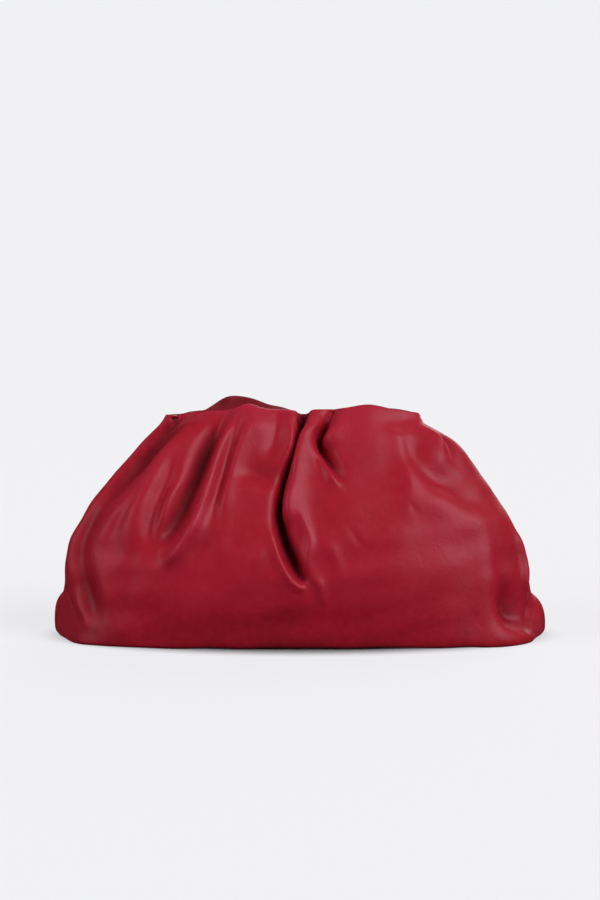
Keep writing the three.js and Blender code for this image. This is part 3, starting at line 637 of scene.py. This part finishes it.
def finish_leather(context, piece, thickness, node):
    """Gives a grid its wall, inwards from the modelled face, its finish and its node."""
    wall = piece.modifiers.new("wall", "SOLIDIFY")
    wall.thickness = thickness
    wall.offset = -1
    wall.use_even_offset = False
    leather = material_of("nappa leather", nappa_leather, context.scene.pouch_look)
    piece.data.materials.append(leather)
    fasten(piece, node)


def set_input(tree, socket, value):
    """Sets a socket's constant, or links it where the value is another socket."""
    if isinstance(value, bpy.types.NodeSocket):
        tree.links.new(value, socket)
    else:
        socket.default_value = value


def set_inputs(tree, node, **values):
    """Sets or links inputs by name; an underscore stands for a space."""
    for key, value in values.items():
        set_input(tree, node.inputs[key.replace("_", " ")], value)


def add_node(tree, kind, *first, **settings):
    """Adds a node; first are its first inputs, settings its properties and named inputs."""
    node = tree.nodes.new(kind)
    for key, value in settings.items():
        if hasattr(node, key):
            setattr(node, key, value)
        else:
            set_inputs(tree, node, **{key: value})
    for k, value in enumerate(first):
        set_input(tree, node.inputs[k], value)
    return node


def object_place(tree):
    return add_node(tree, "ShaderNodeTexCoord").outputs["Object"]


def new_material(name):
    """Empty node material and its shader, ready to be linked."""
    material = bpy.data.materials.new(name)
    material.use_nodes = True
    tree = material.node_tree
    tree.nodes.clear()
    shader = tree.nodes.new("ShaderNodeBsdfPrincipled")
    output = tree.nodes.new("ShaderNodeOutputMaterial")
    tree.links.new(shader.outputs[0], output.inputs[0])
    return material, tree, shader


def noise(tree, place, size, detail, roughness=0.5, **settings):
    """Soft noise with lumps about size metres across."""
    return add_node(tree, "ShaderNodeTexNoise", Vector=place, Scale=1 / size, Detail=detail,
                    Roughness=roughness, **settings).outputs[0]


def ranged(tree, value, start, end, low, high, **settings):
    """Value between start and end, carried over to low and high."""
    return add_node(tree, "ShaderNodeMapRange", Value=value, From_Min=start, From_Max=end,
                    To_Min=low, To_Max=high, **settings).outputs[0]


SMOOTH = {"interpolation_type": "SMOOTHSTEP"}


def added(tree, *values, **settings):
    return add_node(tree, "ShaderNodeMath", *values, operation="ADD", **settings).outputs[0]


def two_tones(tree, value, dark, light):
    """Colour ramp between two sRGB hex colours."""
    ramp = add_node(tree, "ShaderNodeValToRGB", value)
    for element, hex_colour in zip(ramp.color_ramp.elements, (dark, light)):
        element.color = linear(hex_colour)
    return ramp


def nappa_leather(look):
    """Drum-dyed lambskin nappa with a thin wax finish: soft broad highlights that wash the red
    towards pink, a fine pebble grain that shows only where light grazes it, painted shade that
    darkens the creases and a painted highlight that lightens the ridges."""
    material, tree, shader = new_material("nappa leather")
    place = object_place(tree)
    depth = add_node(tree, "ShaderNodeAttribute", attribute_name="fold").outputs["Fac"]

    # Dye clouds about 60 mm across, and finer mottling about 6 mm across
    clouds = noise(tree, place, 0.060, 3.0, 0.55)
    mottle = noise(tree, place, 0.006, 4.0, 0.6)
    tone = added(tree, ranged(tree, clouds, 0.35, 0.65, -0.10, 0.10),
                 ranged(tree, mottle, 0.3, 0.7, -0.07, 0.07))
    # Painted shade in the creases and on the turned-in side, and painted highlight on the ridges
    # and the crest's edge, read from the fold attribute
    fold_shade_and_highlight = ranged(tree, depth, -12 * MM, 8 * MM, 0.0, 1.0)
    # Painted shade: the hide is drawn darker towards the base
    up = add_node(tree, "ShaderNodeSeparateXYZ", place).outputs["Z"]
    base = ranged(tree, up, 0.0, 0.065, -0.20, 0.0, **SMOOTH)
    shade = added(tree, fold_shade_and_highlight, added(tree, base, tone), use_clamp=True)
    # Ramp from the crease colour (darker tone and painted shade) through the hide colour to the
    # ridge colour (lighter tone and painted highlight)
    dye = two_tones(tree, shade, look.deep, look.light_tone_and_ridge_highlight)
    dye.color_ramp.elements.new(0.58).color = linear(look.hide)

    # Pebble grain over finer pores, and soft wrinkles about 11 mm long
    cells = add_node(tree, "ShaderNodeTexVoronoi", feature="SMOOTH_F1", Vector=place,
                     Scale=1 / look.grain, Smoothness=0.6, Randomness=1.0)
    grain = added(tree, cells.outputs["Distance"], noise(tree, place, 0.5 * look.grain, 2.0))
    fine = add_node(tree, "ShaderNodeBump", Height=grain, Strength=0.40, Distance=0.12 * MM)
    wrinkles = noise(tree, place, 0.011, 2.0, Distortion=0.6)
    soft = add_node(tree, "ShaderNodeBump", Height=wrinkles, Normal=fine.outputs[0],
                    Strength=0.30, Distance=0.9 * MM)

    # Uneven wax gloss; deep in a crease the finish is dull
    gloss = ranged(tree, mottle, 0.3, 0.7, look.roughness - 0.05, look.roughness + 0.06)
    dull = ranged(tree, depth, -14 * MM, -5 * MM, 0.45, 0.0)
    set_inputs(tree, shader, Base_Color=dye.outputs[0], Normal=soft.outputs[0],
               Roughness=added(tree, gloss, dull, use_clamp=True))
    # The wax takes up some dye, so the highlights turn pink
    set_inputs(tree, shader, IOR=1.48, Specular_IOR_Level=0.25,
               Specular_Tint=(1.0, 0.70, 0.78, 1.0), Sheen_Weight=0.015, Sheen_Roughness=0.45,
               Sheen_Tint=(1.0, 0.72, 0.74, 1.0), Coat_Weight=0.02, Coat_Roughness=0.38)
    return material


def sewing_thread(look):
    """Bonded polyester thread, dyed to match: a twisted ply that catches a small soft light."""
    material, tree, shader = new_material("bonded polyester thread")
    ply = noise(tree, object_place(tree), 0.0006, 1.0)
    bump = add_node(tree, "ShaderNodeBump", Height=ply, Strength=0.3, Distance=0.05 * MM)
    set_inputs(tree, shader, Base_Color=two_tones(tree, ply, look.deep, look.thread).outputs[0],
               Normal=bump.outputs[0], Roughness=0.55, Sheen_Weight=0.2)
    return material


def brushed_steel():
    """Nickel-plated spring steel bar, brushed along its length: fine streaks, no colour."""
    material, tree, shader = new_material("brushed nickel-plated steel")
    # Streaks about 40 mm long and 0.4 mm wide
    along = add_node(tree, "ShaderNodeMapping", Vector=object_place(tree),
                     Scale=(1 / 0.04, 1 / 0.0004, 1 / 0.0004))
    streaks = noise(tree, along.outputs[0], 1.0, 3.0)
    set_inputs(tree, shader, Metallic=1.0,
               Base_Color=two_tones(tree, streaks, "#8A8C90", "#B9BBBE").outputs[0],
               Roughness=ranged(tree, streaks, 0.0, 1.0, 0.25, 0.45))
    return material


def material_of(name, make, *args):
    """One shared material of each kind."""
    return bpy.data.materials.get(name) or make(*args)


class POUCH_OT_panels(bpy.types.Operator):
    """Front and back leather panels, gathered into the mouth"""
    bl_idname = "pouch.panels"
    bl_label = "Leather panels"

    def execute(self, context):
        sizes = context.scene.pouch_sizes
        tables = ((FRONT_FOLDS, FRONT_SWELLS), (BACK_FOLDS, BACK_SWELLS))
        for (side, name), (folds, swells) in zip(SIDES, tables):
            grid, depth = folded_panel(sizes, folds, swells, side)
            piece = grid_mesh(name + "_leather", grid, side, fold=depth)
            finish_leather(context, piece, sizes.wall, name + "_panel")
        return {"FINISHED"}


def ledge_lines(sizes, side, shares):
    """Rim point of each station, and how far its facing's two edges are from the middle."""
    table = level_table(sizes)
    rim_level = levels_at(table, np.full(len(shares), len(table) - 1.0))
    rim = body_points(sizes, shares, rim_level, side)
    closed = smoothstep(np.abs(shares), DROP_SHARE, SHUT_SHARE)
    mouth = sizes.mouth / 2 * (1 - closed) + sizes.seam_gap / 2 * closed
    edge = np.abs(rim[:, 1]) - sizes.clearance
    return rim, edge, mouth


class POUCH_OT_facings(bpy.types.Operator):
    """Turned-in leather facings over the two bars of the mouth"""
    bl_idname = "pouch.facings"
    bl_label = "Facings"

    def execute(self, context):
        sizes = context.scene.pouch_sizes
        corner, crown = 1.2 * MM, 0.25 * MM
        across, down = 6, 8
        turn = np.linspace(0, math.pi / 2, 6)
        for side, name in SIDES:
            shares = np.linspace(-FACING_END, FACING_END, 160)
            rim, edge, mouth = ledge_lines(sizes, side, shares)
            drop = np.where(np.abs(shares) <= DROP_SHARE, sizes.facing_drop,
                            corner + sizes.clearance)
            columns = []
            for k in range(len(shares)):
                top = rim[k, 2]
                y = np.concatenate([
                    np.linspace(edge[k], mouth[k] + corner, across + 1)[:-1],
                    mouth[k] + corner - corner * np.sin(turn),
                    np.full(down, mouth[k])])
                z = np.concatenate([
                    top + crown * np.sin(np.linspace(0, math.pi, across + 1))[:-1],
                    top - corner + corner * np.cos(turn),
                    np.linspace(top - corner, top - drop[k], down + 1)[1:]])
                columns.append(np.stack([np.full(len(y), rim[k, 0]), side * y, z], -1))
            grid = np.stack(columns, 1)
            piece = grid_mesh(name + "_facing_leather", grid, side, fold=np.zeros(grid.shape[:2]))
            finish_leather(context, piece, sizes.facing, name + "_facing")
        return {"FINISHED"}


def stitch_tree(look):
    """Geometry Nodes: one stitch at each even step along a line, turned to follow it. Returns
    the tree and its size inputs, which are set on the modifier."""
    tree = bpy.data.node_groups.new("stitch row", "GeometryNodeTree")
    face = tree.interface
    face.new_socket("Geometry", in_out="INPUT", socket_type="NodeSocketGeometry")
    inputs = [face.new_socket(label, in_out="INPUT", socket_type="NodeSocketFloat")
              for label in ("Pitch", "Stitch length", "Thread")]
    face.new_socket("Geometry", in_out="OUTPUT", socket_type="NodeSocketGeometry")
    given = add_node(tree, "NodeGroupInput").outputs
    curve = add_node(tree, "GeometryNodeMeshToCurve", Mesh=given["Geometry"])
    points = add_node(tree, "GeometryNodeCurveToPoints", mode="LENGTH", Curve=curve.outputs[0],
                      Length=given["Pitch"]).outputs
    # The bead has a radius of 1, so it is scaled by half the thickness and half the length
    thin, long = (add_node(tree, "ShaderNodeMath", given[label], 0.5,
                           operation="MULTIPLY").outputs[0]
                  for label in ("Thread", "Stitch length"))
    size = add_node(tree, "ShaderNodeCombineXYZ", thin, thin, long)
    bead = add_node(tree, "GeometryNodeMeshUVSphere", Segments=8, Rings=6)
    stitch = add_node(tree, "GeometryNodeInstanceOnPoints", Points=points["Points"],
                      Instance=bead.outputs["Mesh"], Rotation=points["Rotation"],
                      Scale=size.outputs[0])
    real = add_node(tree, "GeometryNodeRealizeInstances", Geometry=stitch.outputs[0])
    smooth = add_node(tree, "GeometryNodeSetShadeSmooth", Geometry=real.outputs[0])
    dressed = add_node(tree, "GeometryNodeSetMaterial", Geometry=smooth.outputs[0],
                       Material=material_of("bonded polyester thread", sewing_thread, look))
    add_node(tree, "NodeGroupOutput", Geometry=dressed.outputs[0])
    return tree, inputs


class POUCH_OT_stitches(bpy.types.Operator):
    """Rows of stitches that hold each facing to its panel"""
    bl_idname = "pouch.stitches"
    bl_label = "Facing stitches"

    def execute(self, context):
        sizes = context.scene.pouch_sizes
        tree, inputs = stitch_tree(context.scene.pouch_look)
        # The row lies this far in from the edge and stands this far out of the hide
        inset, proud = 1.8 * MM, 0.35 * MM
        for side, name in SIDES:
            shares = np.linspace(-STITCH_END, STITCH_END, 120)
            rim, edge, _ = ledge_lines(sizes, side, shares)
            line = np.stack([rim[:, 0], side * (edge - inset), rim[:, 2] + proud], -1)
            mesh = bpy.data.meshes.new(name + "_stitch_line")
            mesh.from_pydata(line.tolist(), [(k, k + 1) for k in range(len(line) - 1)], [])
            carrier = add_object(name + "_stitch_line", mesh)
            row = carrier.modifiers.new("stitches", "NODES")
            row.node_group = tree
            for socket, size in zip(inputs, (sizes.pitch, sizes.stitch, sizes.thread)):
                row[socket.identifier] = size
            context.view_layer.update()
            evaluated = carrier.evaluated_get(context.evaluated_depsgraph_get())
            sewn = bpy.data.meshes.new_from_object(evaluated)
            sewn.name = name + "_facing_stitches"
            bpy.data.objects.remove(carrier)
            fasten(add_object(sewn.name, sewn), None)
        return {"FINISHED"}


class POUCH_OT_frame(bpy.types.Operator):
    """Metal finish of the hidden closure frame"""
    bl_idname = "pouch.frame"
    bl_label = "Closure frame"

    def execute(self, context):
        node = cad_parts["closure_frame"]
        node.data.materials.clear()
        node.data.materials.append(material_of("brushed nickel-plated steel", brushed_steel))
        return {"FINISHED"}


# Distant round lights: name, azimuth (0 behind the camera, positive to the right), elevation
# and spread in degrees, power, and whether the light shows in the leather's gloss
LIGHTS = (
    ("right softbox", 50, 31, 38, 2.35, True),
    ("left softbox", -62, 24, 30, 0.6, True),
    ("left reflector", -70, 16, 40, 0.85, False),
    ("overhead softbox", 0, 70, 60, 0.08, False),
    ("back softbox", 160, 34, 50, 1.3, True),
)


def soft_light(name, azimuth, elevation, spread, power, glossy):
    data = bpy.data.lights.new(name, "SUN")
    data.angle = math.radians(spread)
    data.energy = power
    turn, rise = math.radians(azimuth), math.radians(elevation)
    away = Vector((math.sin(turn) * math.cos(rise), -math.cos(turn) * math.cos(rise),
                   math.sin(rise)))
    light = add_object(name, data)
    light.location = 3 * away
    light.rotation_euler = away.to_track_quat("Z", "Y").to_euler()
    light.visible_glossy = glossy


def paper_sweep(stage):
    """Round seamless paper: a floor that curves up into a wall on every side."""
    curve = np.linspace(0, math.pi / 2, 16)
    flat, bend, high = 4.0, 1.5, 7.0
    r = np.concatenate([[0.001, 1.0, 2.0, 3.0], flat + bend * np.sin(curve), [flat + bend]])
    z = np.concatenate([np.zeros(4), bend * (1 - np.cos(curve)), [high]])
    turns = np.linspace(0, 2 * math.pi, 97)
    grid = np.stack([r[:, None] * np.cos(turns), r[:, None] * np.sin(turns),
                     z[:, None] * np.ones(len(turns))], -1)
    sweep = grid_mesh("paper_sweep", grid, FRONT)
    material, tree, shader = new_material("matt seamless paper")
    place = object_place(tree)
    # Painted contact shadow: the paper's glow fades out in an ellipse around the pouch, which
    # ends 20 mm beside the pouch and 30 mm in front
    half_long, half_deep = 0.215, 0.110
    spread = add_node(tree, "ShaderNodeVectorMath", place, (1 / half_long, 1 / half_deep, 0),
                      operation="MULTIPLY")
    reach = add_node(tree, "ShaderNodeVectorMath", spread.outputs[0], operation="LENGTH")
    open_floor = ranged(tree, reach.outputs["Value"], 0.66, 1.0, 0.0, stage.glow, **SMOOTH)
    set_inputs(tree, shader, Base_Color=linear(stage.paper), Specular_IOR_Level=0.0,
               Roughness=ranged(tree, noise(tree, place, 0.02, 3.0), 0.0, 1.0, 0.85, 0.95),
               Emission_Color=linear(stage.backdrop), Emission_Strength=open_floor)
    # The paper near the pouch takes its shadow; further out it glows as evenly as it is lit
    away = add_node(tree, "ShaderNodeVectorMath", place, operation="LENGTH")
    far = ranged(tree, away.outputs["Value"], 0.8, 2.4, 0.0, 1.0, **SMOOTH)
    glow = add_node(tree, "ShaderNodeEmission", Color=linear(stage.backdrop), Strength=1.0)
    mix = add_node(tree, "ShaderNodeMixShader", far, shader.outputs[0], glow.outputs[0])
    output = next(node for node in tree.nodes if node.type == "OUTPUT_MATERIAL")
    set_input(tree, output.inputs[0], mix.outputs[0])
    sweep.data.materials.append(material)
    sweep.visible_diffuse = False
    sweep.visible_glossy = False
    sweep.visible_shadow = False


def studio_world(scene):
    """Soft white room: lighter overhead, darker towards the floor."""
    world = bpy.data.worlds.new("studio")
    world.use_nodes = True
    tree = world.node_tree
    view = add_node(tree, "ShaderNodeTexCoord").outputs["Generated"]
    height = add_node(tree, "ShaderNodeSeparateXYZ", view).outputs["Z"]
    level = ranged(tree, height, -0.7, 0.9, 0.035, 0.11, **SMOOTH)
    set_inputs(tree, tree.nodes["Background"], Color=linear("#F6F7F9"), Strength=level)
    scene.world = world


class POUCH_OT_stage(bpy.types.Operator):
    """Paper sweep, soft studio lights and the camera"""
    bl_idname = "pouch.stage"
    bl_label = "Stage"

    def execute(self, context):
        stage = context.scene.pouch_stage
        paper_sweep(stage)
        for light in LIGHTS:
            soft_light(*light)
        studio_world(context.scene)
        context.scene.view_settings.view_transform = "Standard"

        data = bpy.data.cameras.new("camera")
        data.lens = stage.lens
        data.sensor_width = 36.0
        camera = add_object("camera", data)
        away = Vector((0, -math.cos(stage.elevation), math.sin(stage.elevation)))
        camera.location = Vector((0, 0, stage.aim)) + stage.distance * away
        camera.rotation_euler = (math.pi / 2 - stage.elevation, 0, 0)
        context.scene.camera = camera
        return {"FINISHED"}


class POUCH_PT_build(bpy.types.Panel):
    """Steps that build the pouch"""
    bl_idname = "POUCH_PT_build"
    bl_label = "Gathered pouch"
    bl_space_type = "VIEW_3D"
    bl_region_type = "UI"
    bl_category = "Pouch"

    def draw(self, context):
        for name in BUILD_ORDER:
            self.layout.operator("pouch." + name)
        for group in GROUPS:
            box = self.layout.box()
            settings = getattr(context.scene, group)
            for key in settings.__annotations__:
                box.prop(settings, key)


BUILD_ORDER = ("stage", "panels", "facings", "stitches", "frame")
GROUPS = {"pouch_sizes": PouchSizes, "pouch_look": PouchLook, "pouch_stage": PouchStage}
CLASSES = (*GROUPS.values(), POUCH_OT_panels, POUCH_OT_facings, POUCH_OT_stitches,
           POUCH_OT_frame, POUCH_OT_stage, POUCH_PT_build)


def register():
    for cls in CLASSES:
        bpy.utils.register_class(cls)
    for name, group in GROUPS.items():
        setattr(bpy.types.Scene, name, bpy.props.PointerProperty(type=group))


def unregister():
    for name in GROUPS:
        delattr(bpy.types.Scene, name)
    for cls in reversed(CLASSES):
        bpy.utils.unregister_class(cls)


def main():
    register()
    for name in BUILD_ORDER:
        getattr(bpy.ops.pouch, name)()


if __name__ == "__main__":
    main()
